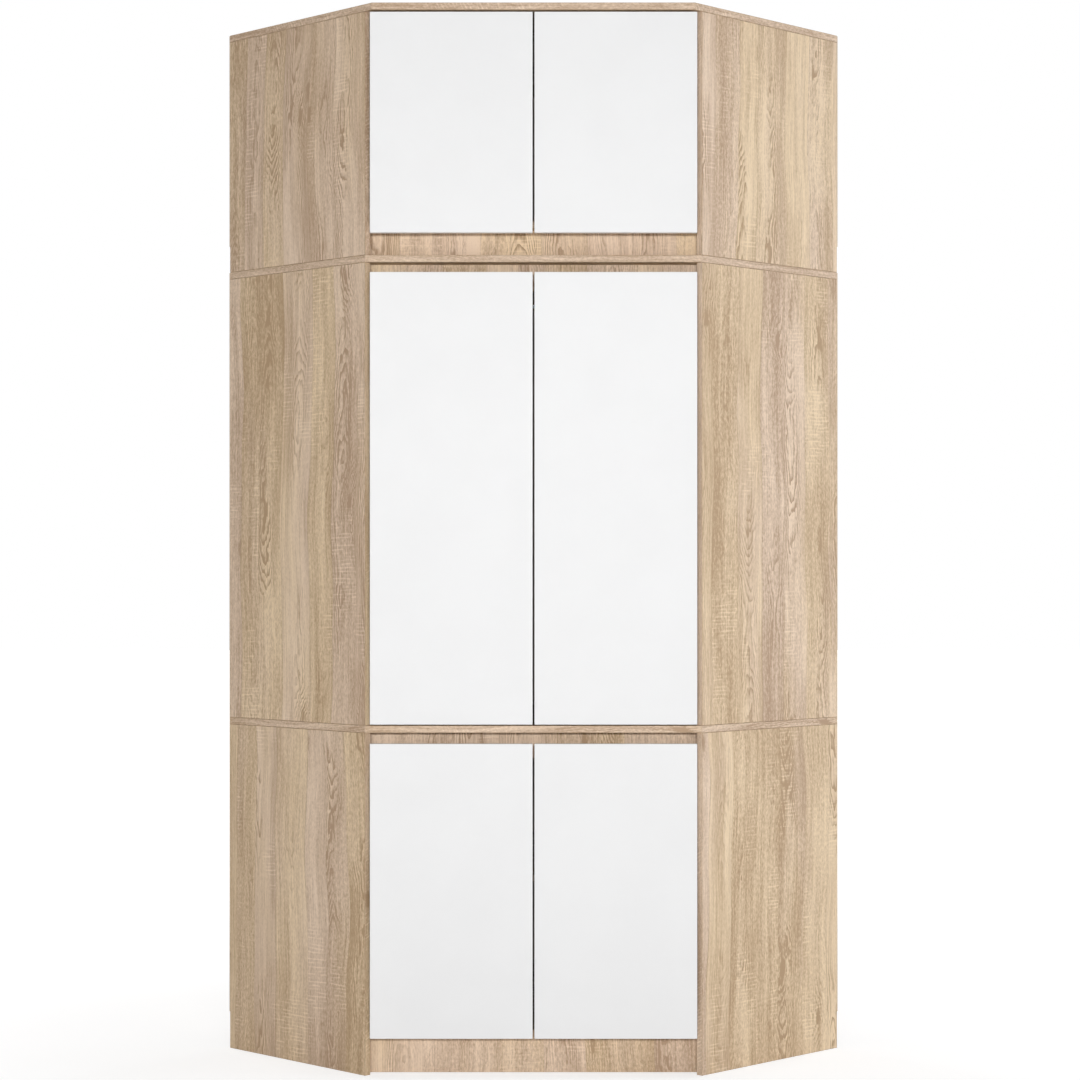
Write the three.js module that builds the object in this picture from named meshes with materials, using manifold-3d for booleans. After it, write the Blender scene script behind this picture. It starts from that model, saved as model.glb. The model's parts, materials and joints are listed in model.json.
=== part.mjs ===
// Corner wardrobe with a separate top box: a five-sided carcass in light oak laminate,
// six plain white doors and angled cup hinges. Millimetres, +Z up, the front faces -Y.
// The origin is on the floor, in the middle of the wardrobe's width and depth.

import * as THREE from 'three';
import { mergeVertices } from 'three/addons/utils/BufferGeometryUtils.js';
import Module from 'manifold-3d';

const wasm = await Module();
wasm.setup();

// Plan: two room walls meet at the rear corner, and the front runs across at 45 degrees
const WALL_RUN = 1000;
const END_DEPTH = 500;

// Heights
const BASE_HEIGHT = 1800;
const TOP_BOX_HEIGHT = 550;
const LOWER_HEIGHT = 768;
const PLINTH_HEIGHT = 84;
const TOP_BOX_PLINTH_HEIGHT = 60;
const RAIL_HEIGHT = 60;

// Boards
const BOARD = 16;
const BACK = 3;
const BACK_REVEAL = 1;
const STRIP_RECESS = 58;
const SHELF_SETBACK = 82;
const REAR_SUPPORT_WIDTH = 200;
const REAR_SUPPORT_SETBACK = 160;

// Doors
const DOOR_THICK = 16;
const DOOR_CENTRE_GAP = 4;
const DOOR_LAP = 4.4;
const DOOR_LIFT = 3;
const DOOR_HEAD_GAP = 4;
const DOOR_GRIP_DROP = 13;
const GRIP_GAP = 23;

// Clearances
const FIT = 0.3;
const OVERRUN = 1;

// Hinge cup, sunk in the door
const HINGE_INSET = 100;
const BORE_DIAMETER = 35;
const BORE_DEPTH = 12.8;
const BORE_EDGE_DISTANCE = 22.5;
const CUP_WALL = 1;
const FLANGE_THICK = 1.2;
const FLANGE_RIM = 1.7;
const EAR_SPACING = 48;
const EAR_WIDTH = 13;

// Hinge pivot and hook
const PIVOT_EDGE_DISTANCE = 12;
const PIN_DIAMETER = 2.8;
const PIN_CLEARANCE = 0.35;
const EYE_WALL = 1.35;
const HOOK_CLEARANCE = 0.4;
const HOOK_THICK = 3;
const HOOK_WIDTH = 14;
const ELBOW_RADIUS = 1;
const LEG_CLEARANCE = 1.5;

// Hinge arm and mounting plate, on the side panel
const ARM_CLEARANCE = 5.5;
const ARM_SHEET = 2;
const ARM_WIDTH = 16;
const ARM_TAIL = 20;
const CHEEK_THICK = 1.5;
const CHEEK_LIFT = 4.5;
const CHEEK_LEAD = 8;
const PLATE_SETBACK = 37;
const PLATE_THICK = 2;
const WING_SPACING = 32;
const WING_WIDTH = 12;
const SADDLE_LENGTH = 34;
const SADDLE_HEIGHT = 9;
const SADDLE_GAP = 0.4;
const CLAMP_SCREW_DIAMETER = 6;
const CLAMP_SCREW_SETBACK = 46;

// Hanging rail and its brackets
const HANGER_TUBE_DIAMETER = 25;
const HANGER_TUBE_WALL = 1.5;
const HANGER_TUBE_LENGTH = 760;
const HANGER_TUBE_DEPTH = 360;
const HANGER_TUBE_DROP = 60;
const BRACKET_INSET = 40;
const BRACKET_WIDTH = 20;
const BRACKET_FOOT_LENGTH = 56;
const BRACKET_FOOT_THICK = 3;
const BRACKET_STEM_THICK = 6;
const BRACKET_RING_WALL = 3;

// Facet counts
const BORE_SIDES = 20;
const PIN_SIDES = 8;
const EYE_SIDES = 10;
const CORNER_SIDES = 8;
const TUBE_SIDES = 20;
const ELBOW_STEPS = 3;

// Plan lines that follow from the sizes above
const frontReach = WALL_RUN + END_DEPTH;
const depth = frontReach / Math.SQRT2;
const frontY = -depth / 2;
const rearY = depth / 2;
const frontHalfWidth = (WALL_RUN - END_DEPTH) / Math.SQRT2;
const backFace = BACK + FIT;
const sideFrontB = END_DEPTH - DOOR_THICK * Math.SQRT2;
const sideInnerA = WALL_RUN - BOARD;
const innerEdgeHalf = (sideInnerA - sideFrontB) / Math.SQRT2;
const innerEdgeDepth = (frontReach - sideInnerA - sideFrontB) / Math.SQRT2;

// Levels
const middleBoardBase = LOWER_HEIGHT - BOARD;
const wardrobeTopBase = BASE_HEIGHT - BOARD;
const totalHeight = BASE_HEIGHT + TOP_BOX_HEIGHT;
const topBoardBase = totalHeight - BOARD;
const topBoxFloorBase = BASE_HEIGHT + TOP_BOX_PLINTH_HEIGHT;

// Hinge places, measured from the pivot: u towards the door's outer edge, v towards the back
const doorOuter = frontHalfWidth + DOOR_LAP;
const doorWidth = doorOuter - DOOR_CENTRE_GAP / 2;
const boreRadius = BORE_DIAMETER / 2;
const cupRadius = boreRadius - FIT;
const cupInner = cupRadius - CUP_WALL;
const cupDepth = BORE_DEPTH - FIT;
const pinRadius = PIN_DIAMETER / 2;
const eyeBore = pinRadius + PIN_CLEARANCE;
const eyeRadius = eyeBore + EYE_WALL;
const pivotDepth = DOOR_THICK - cupDepth + CUP_WALL + HOOK_CLEARANCE + eyeRadius;
const pivotHalf = doorOuter - PIVOT_EDGE_DISTANCE;
const doorRearV = DOOR_THICK - pivotDepth;
const flangeV = doorRearV + FIT + FLANGE_THICK;
const cupU = PIVOT_EDGE_DISTANCE - BORE_EDGE_DISTANCE;
const panelEdgeU = innerEdgeHalf - pivotHalf;
const panelEdgeV = innerEdgeDepth - pivotDepth;
const doorSweep = Math.hypot(PIVOT_EDGE_DISTANCE, doorRearV);

// Hinge arm heights above the side panel's inner face
const pivotHeight = (panelEdgeU - panelEdgeV) / Math.SQRT2;
const armUnder = pivotHeight + doorSweep + ARM_CLEARANCE;
const armOuter = armUnder + ARM_SHEET;

// Geometry helpers

function block(x0, x1, y0, y1, z0, z1) {
  const box = new THREE.BoxGeometry(x1 - x0, y1 - y0, z1 - z0);
  return box.translate((x0 + x1) / 2, (y0 + y1) / 2, (z0 + z1) / 2);
}

function rodAlongY(radius, x, y0, y1, z, sides) {
  const rod = new THREE.CylinderGeometry(radius, radius, y1 - y0, sides);
  return rod.translate(x, (y0 + y1) / 2, z);
}

function rodAlongZ(radius, x, y, length, sides) {
  const rod = new THREE.CylinderGeometry(radius, radius, length, sides);
  return rod.rotateX(Math.PI / 2).translate(x, y, 0);
}

function rodAlongX(radius, x, y, z, length, sides) {
  const rod = new THREE.CylinderGeometry(radius, radius, length, sides);
  return rod.rotateZ(Math.PI / 2).translate(x, y, z);
}

function slab(outline, thickness) {
  const shape = Array.isArray(outline) ? new THREE.Shape(outline) : outline;
  return new THREE.ExtrudeGeometry(shape, {
    depth: thickness,
    bevelEnabled: false,
    curveSegments: ELBOW_STEPS,
  });
}

function centredSlab(outline, thickness) {
  return slab(outline, thickness).translate(0, 0, -thickness / 2);
}

function solid(geometry) {
  const bare = geometry.clone();
  bare.deleteAttribute('normal');
  bare.deleteAttribute('uv');
  const merged = mergeVertices(bare);
  return new wasm.Manifold(new wasm.Mesh({
    numProp: 3,
    vertProperties: new Float32Array(merged.attributes.position.array),
    triVerts: new Uint32Array(merged.index.array),
  }));
}

function joined(first, ...others) {
  return others.reduce((sum, geometry) => sum.add(solid(geometry)), solid(first));
}

function surfaceOf(body) {
  const mesh = body.getMesh();
  const geometry = new THREE.BufferGeometry();
  geometry.setAttribute('position', new THREE.BufferAttribute(mesh.vertProperties, 3));
  geometry.setIndex(new THREE.BufferAttribute(mesh.triVerts, 1));
  geometry.computeVertexNormals();
  return geometry;
}

// A left-hand piece is the right-hand one mirrored, with each triangle turned over again
function handed(side, geometry) {
  if (side > 0) {
    return geometry;
  }
  const mirrored = mergeVertices(geometry.clone().scale(side, 1, 1));
  const index = mirrored.index.array;
  for (let corner = 0; corner < index.length; corner += 3) {
    const held = index[corner];
    index[corner] = index[corner + 1];
    index[corner + 1] = held;
  }
  mirrored.computeVertexNormals();
  return mirrored;
}

// Plan points: a runs from the rear corner along the right wall, b along the left wall

function planPoint(a, b) {
  return new THREE.Vector2((a - b) / Math.SQRT2, rearY - (a + b) / Math.SQRT2);
}

function planPointOn(side, a, b) {
  return side > 0 ? planPoint(a, b) : planPoint(b, a);
}

function boardOutline(wall, end, frontDepth) {
  const reach = frontReach - frontDepth * Math.SQRT2;
  return [
    planPoint(wall, wall),
    planPoint(end, wall),
    planPoint(end, reach - end),
    planPoint(reach - end, end),
    planPoint(wall, end),
  ];
}

// Half the clear width between the side panels at a given depth behind the front
function clearHalfWidth(frontDepth) {
  return innerEdgeHalf + frontDepth - innerEdgeDepth - FIT * Math.SQRT2;
}

function stripOutline() {
  const rear = STRIP_RECESS + BOARD;
  return [
    new THREE.Vector2(-clearHalfWidth(STRIP_RECESS), frontY + STRIP_RECESS),
    new THREE.Vector2(clearHalfWidth(STRIP_RECESS), frontY + STRIP_RECESS),
    new THREE.Vector2(clearHalfWidth(rear), frontY + rear),
    new THREE.Vector2(-clearHalfWidth(rear), frontY + rear),
  ];
}

function sideOutline(side) {
  return [
    planPointOn(side, WALL_RUN, backFace),
    planPointOn(side, WALL_RUN, sideFrontB),
    planPointOn(side, sideInnerA, sideFrontB),
    planPointOn(side, sideInnerA, backFace),
  ];
}

// The left sheet runs into the rear corner, and the right one butts against it
function backOutline(side) {
  const start = side > 0 ? backFace : 0;
  const end = WALL_RUN - BACK_REVEAL;
  return [
    planPointOn(side, start, 0),
    planPointOn(side, end, 0),
    planPointOn(side, end, BACK),
    planPointOn(side, start, BACK),
  ];
}

// Materials

function oakLight() {
  return new THREE.MeshStandardMaterial({ color: 0xc9b9a6, roughness: 0.55, metalness: 0 });
}

function oakDark() {
  return new THREE.MeshStandardMaterial({ color: 0xa39788, roughness: 0.55, metalness: 0 });
}

function whiteDoor() {
  return new THREE.MeshStandardMaterial({ color: 0xf2f2f0, roughness: 0.4, metalness: 0 });
}

function hardboard() {
  return new THREE.MeshStandardMaterial({ color: 0xcbbda9, roughness: 0.7, metalness: 0 });
}

function nickel() {
  return new THREE.MeshStandardMaterial({ color: 0xb9bbbd, roughness: 0.3, metalness: 1 });
}

function chrome() {
  return new THREE.MeshStandardMaterial({ color: 0xd4d6d8, roughness: 0.12, metalness: 1 });
}

// Pieces of the carcass

function fullBoard(frontDepth) {
  return slab(boardOutline(backFace, WALL_RUN, frontDepth), BOARD);
}

function innerBoard(frontDepth) {
  return slab(boardOutline(backFace, sideInnerA - FIT, frontDepth), BOARD);
}

function sidePanel(side, height) {
  return slab(sideOutline(side), height);
}

function backSheet(side, height) {
  return slab(backOutline(side), height);
}

function strip(height) {
  return slab(stripOutline(), height);
}

function rearSupport() {
  const y = rearY - REAR_SUPPORT_SETBACK;
  const half = REAR_SUPPORT_WIDTH / 2;
  return block(-half, half, y - BOARD, y, 0, PLINTH_HEIGHT);
}

// Hanging rail

const hangerY = frontY + HANGER_TUBE_DEPTH;
const tubeRadius = HANGER_TUBE_DIAMETER / 2;

function hangingRail() {
  const outer = rodAlongX(tubeRadius, 0, 0, 0, HANGER_TUBE_LENGTH, TUBE_SIDES);
  const boreLength = HANGER_TUBE_LENGTH + 2 * OVERRUN;
  const bore = rodAlongX(tubeRadius - HANGER_TUBE_WALL, 0, 0, 0, boreLength, TUBE_SIDES);
  return surfaceOf(joined(outer).subtract(solid(bore)));
}

// The bracket's origin is on the tube's axis, and its foot is screwed under the board
function railBracket() {
  const half = BRACKET_WIDTH / 2;
  const ringRadius = tubeRadius + FIT + BRACKET_RING_WALL;
  const footTop = HANGER_TUBE_DROP;
  const footBase = footTop - BRACKET_FOOT_THICK;
  const footHalf = BRACKET_FOOT_LENGTH / 2;
  const stemHalf = BRACKET_STEM_THICK / 2;
  const foot = block(-half, half, -footHalf, footHalf, footBase, footTop);
  const stem = block(-half, half, -stemHalf, stemHalf, tubeRadius, footTop);
  const ring = rodAlongX(ringRadius, 0, 0, 0, BRACKET_WIDTH, TUBE_SIDES);
  const boreLength = BRACKET_WIDTH + 2 * OVERRUN;
  const bore = rodAlongX(tubeRadius + FIT, 0, 0, 0, boreLength, TUBE_SIDES);
  return surfaceOf(joined(foot, stem, ring).subtract(solid(bore)));
}

// Hinge: all pieces are drawn round the pivot for a right-hand door

function hingeCup() {
  const ear = EAR_SPACING / 2;
  const earHalf = EAR_WIDTH / 2;
  const flangeBase = doorRearV + FIT;
  const can = rodAlongY(cupRadius, cupU, doorRearV - cupDepth, flangeV, 0, BORE_SIDES);
  const rim = rodAlongY(cupRadius + FLANGE_RIM, cupU, flangeBase, flangeV, 0, BORE_SIDES);
  const bar = block(cupU - earHalf, cupU + earHalf, flangeBase, flangeV, -ear, ear);
  const earTop = rodAlongY(earHalf, cupU, flangeBase, flangeV, ear, CORNER_SIDES);
  const earBottom = rodAlongY(earHalf, cupU, flangeBase, flangeV, -ear, CORNER_SIDES);
  const floorV = doorRearV - cupDepth + CUP_WALL;
  const hollow = rodAlongY(cupInner, cupU, floorV, flangeV + OVERRUN, 0, BORE_SIDES);
  const chord = Math.sqrt(cupRadius ** 2 - (pinRadius - cupU) ** 2) - CUP_WALL / 2;
  const pin = rodAlongZ(pinRadius, 0, 0, 2 * chord, PIN_SIDES);
  const shell = joined(can, rim, bar, earTop, earBottom).subtract(solid(hollow));
  return surfaceOf(shell.add(solid(pin)));
}

// The hook leaves the eye along the cup's floor and turns back round the door's open edge
function hookOutline(legInner, legOuter, legTop) {
  const floor = -eyeRadius;
  const turnU = ELBOW_RADIUS - legInner;
  const turnV = floor + HOOK_THICK + ELBOW_RADIUS;
  const outline = new THREE.Shape();
  outline.moveTo(0, floor);
  outline.lineTo(turnU, floor);
  outline.absarc(turnU, turnV, ELBOW_RADIUS + HOOK_THICK, -Math.PI / 2, -Math.PI, true);
  outline.lineTo(-legOuter, legTop);
  outline.lineTo(-legInner, legTop);
  outline.lineTo(-legInner, turnV);
  outline.absarc(turnU, turnV, ELBOW_RADIUS, Math.PI, Math.PI * 1.5, false);
  outline.lineTo(0, floor + HOOK_THICK);
  return outline;
}

// The channel lies along the side panel: x runs back from its front edge, y stands off it
function armChannel(neck) {
  const tail = PLATE_SETBACK + ARM_TAIL;
  const slope = armUnder - CHEEK_LIFT;
  const profile = [
    new THREE.Vector2(neck, armOuter),
    new THREE.Vector2(neck, armUnder),
    new THREE.Vector2(-CHEEK_LEAD, armUnder),
    new THREE.Vector2(slope - CHEEK_LEAD, CHEEK_LIFT),
    new THREE.Vector2(tail, CHEEK_LIFT),
    new THREE.Vector2(tail, armOuter),
  ];
  const slot = [
    new THREE.Vector2(-CHEEK_LEAD - OVERRUN, armUnder),
    new THREE.Vector2(-CHEEK_LEAD - OVERRUN, CHEEK_LIFT - OVERRUN),
    new THREE.Vector2(tail + OVERRUN, CHEEK_LIFT - OVERRUN),
    new THREE.Vector2(tail + OVERRUN, armUnder),
  ];
  const slotWidth = ARM_WIDTH - 2 * CHEEK_THICK;
  return joined(centredSlab(profile, ARM_WIDTH)).subtract(solid(centredSlab(slot, slotWidth)));
}

// The plate is screwed to the panel by its two wings, and the arm is clamped on its saddle
function mountingPlate() {
  const wing = WING_SPACING / 2;
  const wingHalf = WING_WIDTH / 2;
  const wingTop = FIT + PLATE_THICK;
  const saddleHalf = ARM_WIDTH / 2 - CHEEK_THICK - SADDLE_GAP;
  const start = PLATE_SETBACK - SADDLE_LENGTH / 2;
  const bar = block(PLATE_SETBACK - wingHalf, PLATE_SETBACK + wingHalf, FIT, wingTop, -wing, wing);
  const upper = rodAlongY(wingHalf, PLATE_SETBACK, FIT, wingTop, wing, CORNER_SIDES);
  const lower = rodAlongY(wingHalf, PLATE_SETBACK, FIT, wingTop, -wing, CORNER_SIDES);
  const saddle = block(start, start + SADDLE_LENGTH, FIT, SADDLE_HEIGHT, -saddleHalf, saddleHalf);
  const screwTop = armUnder + ARM_SHEET / 2;
  const screwRadius = CLAMP_SCREW_DIAMETER / 2;
  const screw = rodAlongY(screwRadius, CLAMP_SCREW_SETBACK, PLATE_THICK, screwTop, 0, CORNER_SIDES);
  return joined(bar, upper, lower, saddle, screw);
}

function hingeArm() {
  const legInner = flangeV + LEG_CLEARANCE;
  const legOuter = legInner + HOOK_THICK;
  const neck = armOuter - (legOuter + panelEdgeU) * Math.SQRT2;
  const legTop = panelEdgeV + (neck + armOuter) / Math.SQRT2;
  const onPanel = (body) => surfaceOf(body).rotateZ(Math.PI / 4).translate(panelEdgeU, panelEdgeV, 0);
  const hook = centredSlab(hookOutline(legInner, legOuter, legTop), HOOK_WIDTH);
  const eye = rodAlongZ(eyeRadius, 0, 0, HOOK_WIDTH, EYE_SIDES);
  const bore = rodAlongZ(eyeBore, 0, 0, HOOK_WIDTH + 2 * OVERRUN, EYE_SIDES);
  const hooked = joined(hook, eye).subtract(solid(bore));
  const plated = joined(onPanel(armChannel(neck)), onPanel(mountingPlate()));
  return surfaceOf(hooked.add(plated));
}

// Door: its origin is on the hinge axis, level with its bottom edge

function doorPanel(height, hingeLevels) {
  const inner = PIVOT_EDGE_DISTANCE - doorWidth;
  const panel = block(inner, PIVOT_EDGE_DISTANCE, -pivotDepth, doorRearV, 0, height);
  const bores = hingeLevels.map((level) => {
    return rodAlongY(boreRadius, cupU, doorRearV - BORE_DEPTH, doorRearV + OVERRUN, level, BORE_SIDES);
  });
  return surfaceOf(bores.reduce((body, bore) => body.subtract(solid(bore)), solid(panel)));
}

// Assembly

const wardrobe = new THREE.Group();

function place(parent, name, geometry, material, x, y, z) {
  const mesh = new THREE.Mesh(geometry, material);
  mesh.name = name;
  mesh.position.set(x, y, z);
  parent.add(mesh);
}

const hands = [
  { name: 'left', side: -1, oak: oakDark },
  { name: 'right', side: 1, oak: oakLight },
];

const storeys = [
  {
    name: 'lower',
    sideBase: 0,
    sideTop: middleBoardBase,
    backBase: PLINTH_HEIGHT,
    backTop: LOWER_HEIGHT - BOARD / 2 - FIT,
    doorBase: PLINTH_HEIGHT,
    doorTop: middleBoardBase - GRIP_GAP,
    hingeShares: [0, 1],
  },
  {
    name: 'middle',
    sideBase: LOWER_HEIGHT,
    sideTop: wardrobeTopBase,
    backBase: LOWER_HEIGHT - BOARD / 2,
    backTop: BASE_HEIGHT - BACK_REVEAL,
    doorBase: LOWER_HEIGHT + DOOR_LIFT,
    doorTop: wardrobeTopBase - GRIP_GAP,
    hingeShares: [0, 0.5, 1],
  },
  {
    name: 'top_box',
    sideBase: BASE_HEIGHT,
    sideTop: topBoardBase,
    backBase: topBoxFloorBase,
    backTop: totalHeight - BACK_REVEAL,
    doorBase: topBoxFloorBase - DOOR_GRIP_DROP,
    doorTop: topBoardBase - DOOR_HEAD_GAP,
    hingeShares: [0, 1],
  },
];

function addStorey(storey, hand) {
  const prefix = `${storey.name}_${hand.name}`;
  const sideHeight = storey.sideTop - storey.sideBase;
  const backHeight = storey.backTop - storey.backBase;
  place(wardrobe, `${prefix}_side`, sidePanel(hand.side, sideHeight), hand.oak(), 0, 0, storey.sideBase);
  place(wardrobe, `${prefix}_back`, backSheet(hand.side, backHeight), hardboard(), 0, 0, storey.backBase);
}

function addDoor(storey, hand) {
  const prefix = `${storey.name}_${hand.name}`;
  const height = storey.doorTop - storey.doorBase;
  const levels = storey.hingeShares.map((share) => HINGE_INSET + share * (height - 2 * HINGE_INSET));
  const cup = handed(hand.side, hingeCup());
  const arm = handed(hand.side, hingeArm());
  const leaf = new THREE.Group();
  const frame = new THREE.Group();
  for (const axis of [leaf, frame]) {
    axis.position.set(hand.side * pivotHalf, frontY + pivotDepth, storey.doorBase);
    wardrobe.add(axis);
  }
  place(leaf, `${prefix}_door`, handed(hand.side, doorPanel(height, levels)), whiteDoor(), 0, 0, 0);
  levels.forEach((level, index) => {
    place(leaf, `${prefix}_hinge_cup_${index + 1}`, cup, nickel(), 0, 0, level);
    place(frame, `${prefix}_hinge_arm_${index + 1}`, arm, nickel(), 0, 0, level);
  });
}

function addBoards() {
  const shelfLevel = (PLINTH_HEIGHT + middleBoardBase) / 2;
  place(wardrobe, 'bottom_board', innerBoard(innerEdgeDepth), oakLight(), 0, 0, PLINTH_HEIGHT);
  place(wardrobe, 'lower_shelf', innerBoard(SHELF_SETBACK), oakLight(), 0, 0, shelfLevel);
  place(wardrobe, 'middle_board', fullBoard(DOOR_THICK), oakLight(), 0, 0, middleBoardBase);
  place(wardrobe, 'wardrobe_top_board', fullBoard(DOOR_THICK), oakLight(), 0, 0, wardrobeTopBase);
  place(wardrobe, 'top_box_bottom_board', innerBoard(innerEdgeDepth), oakLight(), 0, 0, topBoxFloorBase);
  place(wardrobe, 'top_box_top_board', fullBoard(0), oakLight(), 0, 0, topBoardBase);
}

function addStrips() {
  place(wardrobe, 'plinth', strip(PLINTH_HEIGHT), oakLight(), 0, 0, 0);
  place(wardrobe, 'lower_rail', strip(RAIL_HEIGHT), oakLight(), 0, 0, middleBoardBase - RAIL_HEIGHT);
  place(wardrobe, 'upper_rail', strip(RAIL_HEIGHT), oakLight(), 0, 0, wardrobeTopBase - RAIL_HEIGHT);
  place(wardrobe, 'top_box_plinth', strip(TOP_BOX_PLINTH_HEIGHT), oakLight(), 0, 0, BASE_HEIGHT);
  place(wardrobe, 'rear_support', rearSupport(), oakLight(), 0, 0, 0);
}

function addHangingRail() {
  const level = wardrobeTopBase - HANGER_TUBE_DROP;
  const bracketHalf = HANGER_TUBE_LENGTH / 2 - BRACKET_INSET;
  place(wardrobe, 'hanging_rail', hangingRail(), chrome(), 0, hangerY, level);
  for (const hand of hands) {
    const x = hand.side * bracketHalf;
    place(wardrobe, `rail_bracket_${hand.name}`, railBracket(), chrome(), x, hangerY, level);
  }
}

addBoards();
addStrips();
addHangingRail();
for (const storey of storeys) {
  for (const hand of hands) {
    addStorey(storey, hand);
    addDoor(storey, hand);
  }
}

export default wardrobe;
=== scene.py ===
"""Dresses a corner wardrobe: oak laminate boards, white doors, angled hinges, hanging rail and fittings."""

import json
import math
from functools import partial, reduce

import bmesh
import bpy
from bpy.props import FloatProperty, FloatVectorProperty, IntProperty, PointerProperty
from mathutils import Matrix, Vector


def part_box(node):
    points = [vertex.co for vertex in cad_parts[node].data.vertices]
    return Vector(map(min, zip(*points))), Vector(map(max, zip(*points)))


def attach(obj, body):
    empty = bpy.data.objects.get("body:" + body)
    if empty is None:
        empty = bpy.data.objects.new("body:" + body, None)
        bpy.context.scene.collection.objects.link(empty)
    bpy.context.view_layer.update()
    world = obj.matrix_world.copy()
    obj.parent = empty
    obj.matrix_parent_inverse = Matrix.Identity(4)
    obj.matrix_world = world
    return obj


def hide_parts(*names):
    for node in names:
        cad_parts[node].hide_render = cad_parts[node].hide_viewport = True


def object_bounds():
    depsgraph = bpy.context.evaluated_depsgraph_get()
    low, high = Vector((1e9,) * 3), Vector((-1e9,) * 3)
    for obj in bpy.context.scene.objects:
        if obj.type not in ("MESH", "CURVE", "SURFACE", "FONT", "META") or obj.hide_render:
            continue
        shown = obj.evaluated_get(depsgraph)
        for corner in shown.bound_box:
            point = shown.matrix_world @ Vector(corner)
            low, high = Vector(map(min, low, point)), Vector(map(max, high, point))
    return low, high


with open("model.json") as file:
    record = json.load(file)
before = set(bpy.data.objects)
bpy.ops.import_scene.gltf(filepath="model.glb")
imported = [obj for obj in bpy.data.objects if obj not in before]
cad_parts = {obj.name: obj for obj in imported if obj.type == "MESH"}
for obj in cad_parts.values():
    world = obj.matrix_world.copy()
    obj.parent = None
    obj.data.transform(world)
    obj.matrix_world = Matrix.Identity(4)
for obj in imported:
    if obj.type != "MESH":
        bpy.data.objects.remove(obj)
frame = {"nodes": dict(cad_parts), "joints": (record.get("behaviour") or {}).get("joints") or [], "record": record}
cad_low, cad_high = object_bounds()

bl_info = {
    "name": "Corner Wardrobe",
    "version": (1, 0, 0),
    "blender": (4, 5, 0),
    "location": "View3D > Sidebar > Wardrobe",
    "description": "Dresses a corner wardrobe in oak laminate and white doors, with its hinges and fittings",
    "category": "Object",
}

CARCASS = "carcass"
GRAIN_MAP = "grain"
HANDS = {"left": -1, "right": 1}
STOREYS = ("lower", "middle", "top_box")

# Directions
UP = Vector((0, 0, 1))
SIDEWAYS = Vector((1, 0, 0))
BACKWARDS = Vector((0, 1, 0))

# Telling faces and edges apart, by angles, parts of a normal and distances
FLAT_ANGLE = math.radians(1)
SMOOTH_ANGLE = math.radians(35)
FLAT_COSINE = 0.98
EDGE_COSINE = 0.1
ROOM_LIMIT = 0.1
LEVEL_LIMIT = 0.5
MERGE_DISTANCE = 0.00001
SKIN = 0.0015

# Places in a board's and in a back's list of finishes
LAMINATE = 0
BAND = 1
CHIPBOARD = 2
EDGE_LINE_AND_SHADE = 3
OUTSIDE = 0
INSIDE = 1

# Each board is cut from the endless oak print at its number times this step
FIRST_CUT = 20
CUT_STEP = (1.37, 2.71)

# The frame's own levels and places
FRONT_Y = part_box("top_box_top_board")[0].y
REAR_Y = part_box("middle_left_back")[1].y
WALL_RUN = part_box("middle_right_side")[1].x * math.sqrt(2)
INNER_EDGE_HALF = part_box("middle_right_side")[0].x

# Sides of small round pieces
FINE_STEPS = 24
SMALL_STEPS = 16
FOOT_STEPS = 12
NAIL_STEPS = 10
BEND_STEPS = 10

# Screw head, in shares of its radius or its height
HEAD_HEIGHT_SHARE = 0.5
RECESS_SHARE = 0.62
SLOT_SHARE = 0.6
SLOT_RIM_SHARE = 0.02
SLOT_DEPTH_SHARE = 0.7
RIM_SHARES = ((0.86, 0.88), (1.0, 0.5), (1.0, 0.0))

# Nails in the backs
NAIL_INSET = 0.0045
NAIL_HEIGHT = 0.0006

# Hanging rail, its end caps and its brackets
RAIL_ROUND = 0.0004
TUBE_WALL = 0.0015
PLUG_DEPTH = 0.008
PLUG_TAPER = 0.0006
PLUG_PLAY = 0.0002
PLUG_NECK = 0.0005
END_CAP_SEAT = 0.0001
END_CAP_SIDE = 0.0011
END_CAP_CHAMFER = 0.0009
END_CAP_SHOULDER = 0.002
END_CAP_CROWN = 0.0024
RING_PLAY = 0.0003
RING_OUTER = 0.0033
STEM_HALF = 0.003
STEM_SINK = 0.001
FOOT_THICK = 0.003
FOOT_SCREW_SHARE = 0.8

# Hinge cup: heights are measured from the door's rear face
CUP_RADIUS = 0.0172
CUP_WALL = 0.001
CUP_SINK = 0.0125
CUP_TURN = 0.001
CUP_TOP = 0.0015
FLANGE_BASE = 0.0003
FLANGE_RADIUS = 0.0189
FLANGE_ROUND = 0.0004
EAR_REACH = 0.024
EAR_RADIUS = 0.0065
EAR_ROOT = 0.0008
EAR_LIFT = 0.0001
EAR_DROP = 0.0002
PIN_RADIUS = 0.0014
PIN_HALF = 0.0119

# Hinge arm: u runs outwards and v backwards from the pivot
EYE_RADIUS = 0.0031
EYE_BORE = 0.00175
EYE_GRIP_SHARE = 1.1
HOOK_HALF = 0.007
HOOK_THICK = 0.003
ELBOW_RADIUS = 0.001
LEG_INNER = 0.011
PANEL_EDGE_U = 0.01229
PANEL_EDGE_V = 0.01931

# Hinge arm on its side panel: s runs back from the panel's front edge, t stands off its inner face
ARM_UNDER = 0.01496
ARM_SHEET = 0.002
ARM_HALF = 0.008
ARM_NECK = -0.0202
ARM_TAIL = 0.057
ARM_ROUND = 0.0006
CHEEK_LEAD = -0.008
CHEEK_LIFT = 0.0045
CHEEK_THICK = 0.0015
CHEEK_TRIM = 0.0002
CHEEK_INSET = 0.0001
PLATE_S = 0.037
PLATE_LIFT = 0.0003
PLATE_THICK = 0.002
WING_REACH = 0.016
WING_RADIUS = 0.006
SADDLE_HALF_LENGTH = 0.017
SADDLE_TOP = 0.009
SADDLE_HALF = 0.0061
CLAMP_SCREW_S = 0.046
SIDE_SCREW_S = 0.026
SHANK_SHARE = 0.6

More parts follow.
